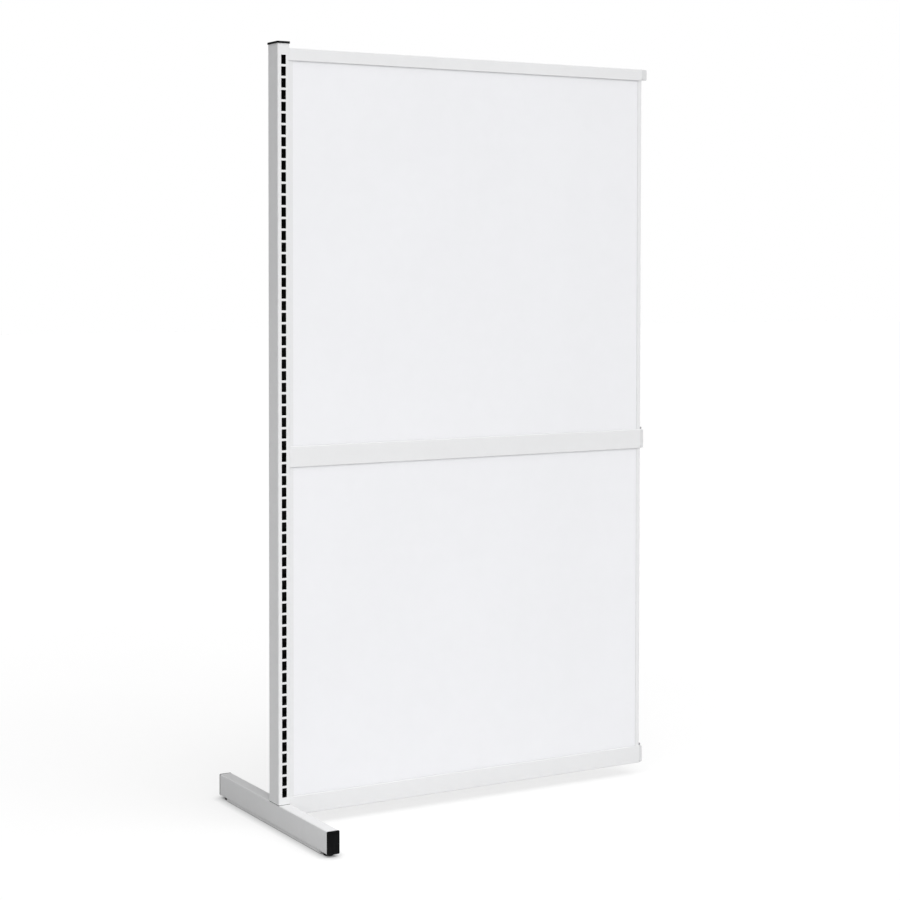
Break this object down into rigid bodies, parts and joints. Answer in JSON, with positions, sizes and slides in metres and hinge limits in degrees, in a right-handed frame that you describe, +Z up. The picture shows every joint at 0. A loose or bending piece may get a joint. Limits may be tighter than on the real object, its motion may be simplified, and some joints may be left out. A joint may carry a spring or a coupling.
{
  "type": "freestanding partition wall",
  "caption": "Free-standing display partition bay: slotted post on a foot tube with levelling feet, hooked rails holding white sandwich panels, hooks at the free end for the next post",
  "frame": {"origin": "on the floor under the centre of the whole wall's box", "axes": "+Z up; +X along the wall from the post to the free end with the hooks; the panels face -Y and +Y, and the foot's shorter end from the post points to -Y"},
  "size_m": [0.9714, 0.545, 1.6945],
  "materials": {
    "frame_paint": "white powder coat with a fine orange-peel texture, satin",
    "rail_paint": "white powder coat, satin",
    "bracket_paint": "light grey-white powder coat, worn at the hooks",
    "panel_board": "3 mm fibreboard with a smooth matt white face",
    "panel_core": "paper honeycomb, taken as a solid",
    "white_edging": "white U-shaped edging",
    "grey_plastic": "moulded grey plastic",
    "black_plastic": "moulded black plastic with a slight sheen",
    "black_rubber": "black rubber",
    "zinc_steel": "bright zinc plate",
    "rivet_steel": "bright rivets",
    "black_steel": "blackened steel socket screws",
    "plain_steel": "machined steel block"
  },
  "bodies": {
    "frame": {"bottom_left_hook_bracket": "bracket_paint", "bottom_rail": "rail_paint", "bottom_rail_rivets": "rivet_steel", "bottom_right_hook_bracket": "bracket_paint", "foot_bar": "frame_paint", "foot_tube": "frame_paint", "front_foot_cap": "black_plastic", "front_leveller_bush": "zinc_steel", "lower_corner_stops": "grey_plastic", "lower_left_edge_trim": "white_edging", "lower_panel_core": "panel_core", "lower_panel_front_skin": "panel_board", "lower_panel_rear_skin": "panel_board", "lower_right_edge_trim": "white_edging", "lower_setting_blocks": "black_rubber", "mid_left_hook_bracket": "bracket_paint", "mid_rail": "rail_paint", "mid_rail_rivets": "rivet_steel", "mid_right_hook_bracket": "bracket_paint", "post": "frame_paint", "post_base_plug": "plain_steel", "post_bolt_washers": "zinc_steel", "post_bolts": "black_steel", "post_cap": "black_plastic", "rear_foot_cap": "black_plastic", "rear_leveller_bush": "zinc_steel", "top_left_hook_bracket": "bracket_paint", "top_rail": "rail_paint", "top_rail_rivets": "rivet_steel", "top_right_hook_bracket": "bracket_paint", "upper_corner_stops": "grey_plastic", "upper_left_edge_trim": "white_edging", "upper_panel_core": "panel_core", "upper_panel_front_skin": "panel_board", "upper_panel_rear_skin": "panel_board", "upper_right_edge_trim": "white_edging", "upper_setting_blocks": "black_rubber"},
    "front_pad": {"front_leveller_pad": "black_plastic"},
    "front_spindle": {"front_leveller_spindle": "zinc_steel"},
    "rear_pad": {"rear_leveller_pad": "black_plastic"},
    "rear_spindle": {"rear_leveller_spindle": "zinc_steel"}
  },
  "joints": [
    {"name": "front_levelling", "type": "slide", "parent": "frame", "child": "front_pad", "axis": [0, 0, -1], "range_m": [0, 0.01]},
    {"name": "front_screw", "type": "hinge", "parent": "front_pad", "child": "front_spindle", "pos_m": [-0.47025, -0.2495, 0.004], "axis": [0, 0, 1], "range_deg": [0, 2880]},
    {"name": "rear_levelling", "type": "slide", "parent": "frame", "child": "rear_pad", "axis": [0, 0, -1], "range_m": [0, 0.01]},
    {"name": "rear_screw", "type": "hinge", "parent": "rear_pad", "child": "rear_spindle", "pos_m": [-0.47025, 0.2475, 0.004], "axis": [0, 0, 1], "range_deg": [0, 2880]}
  ],
  "couplings": [
    {"joint": "front_screw", "follows": "front_levelling", "rad_per_m": 5026.5},
    {"joint": "rear_screw", "follows": "rear_levelling", "rad_per_m": 5026.5}
  ]
}
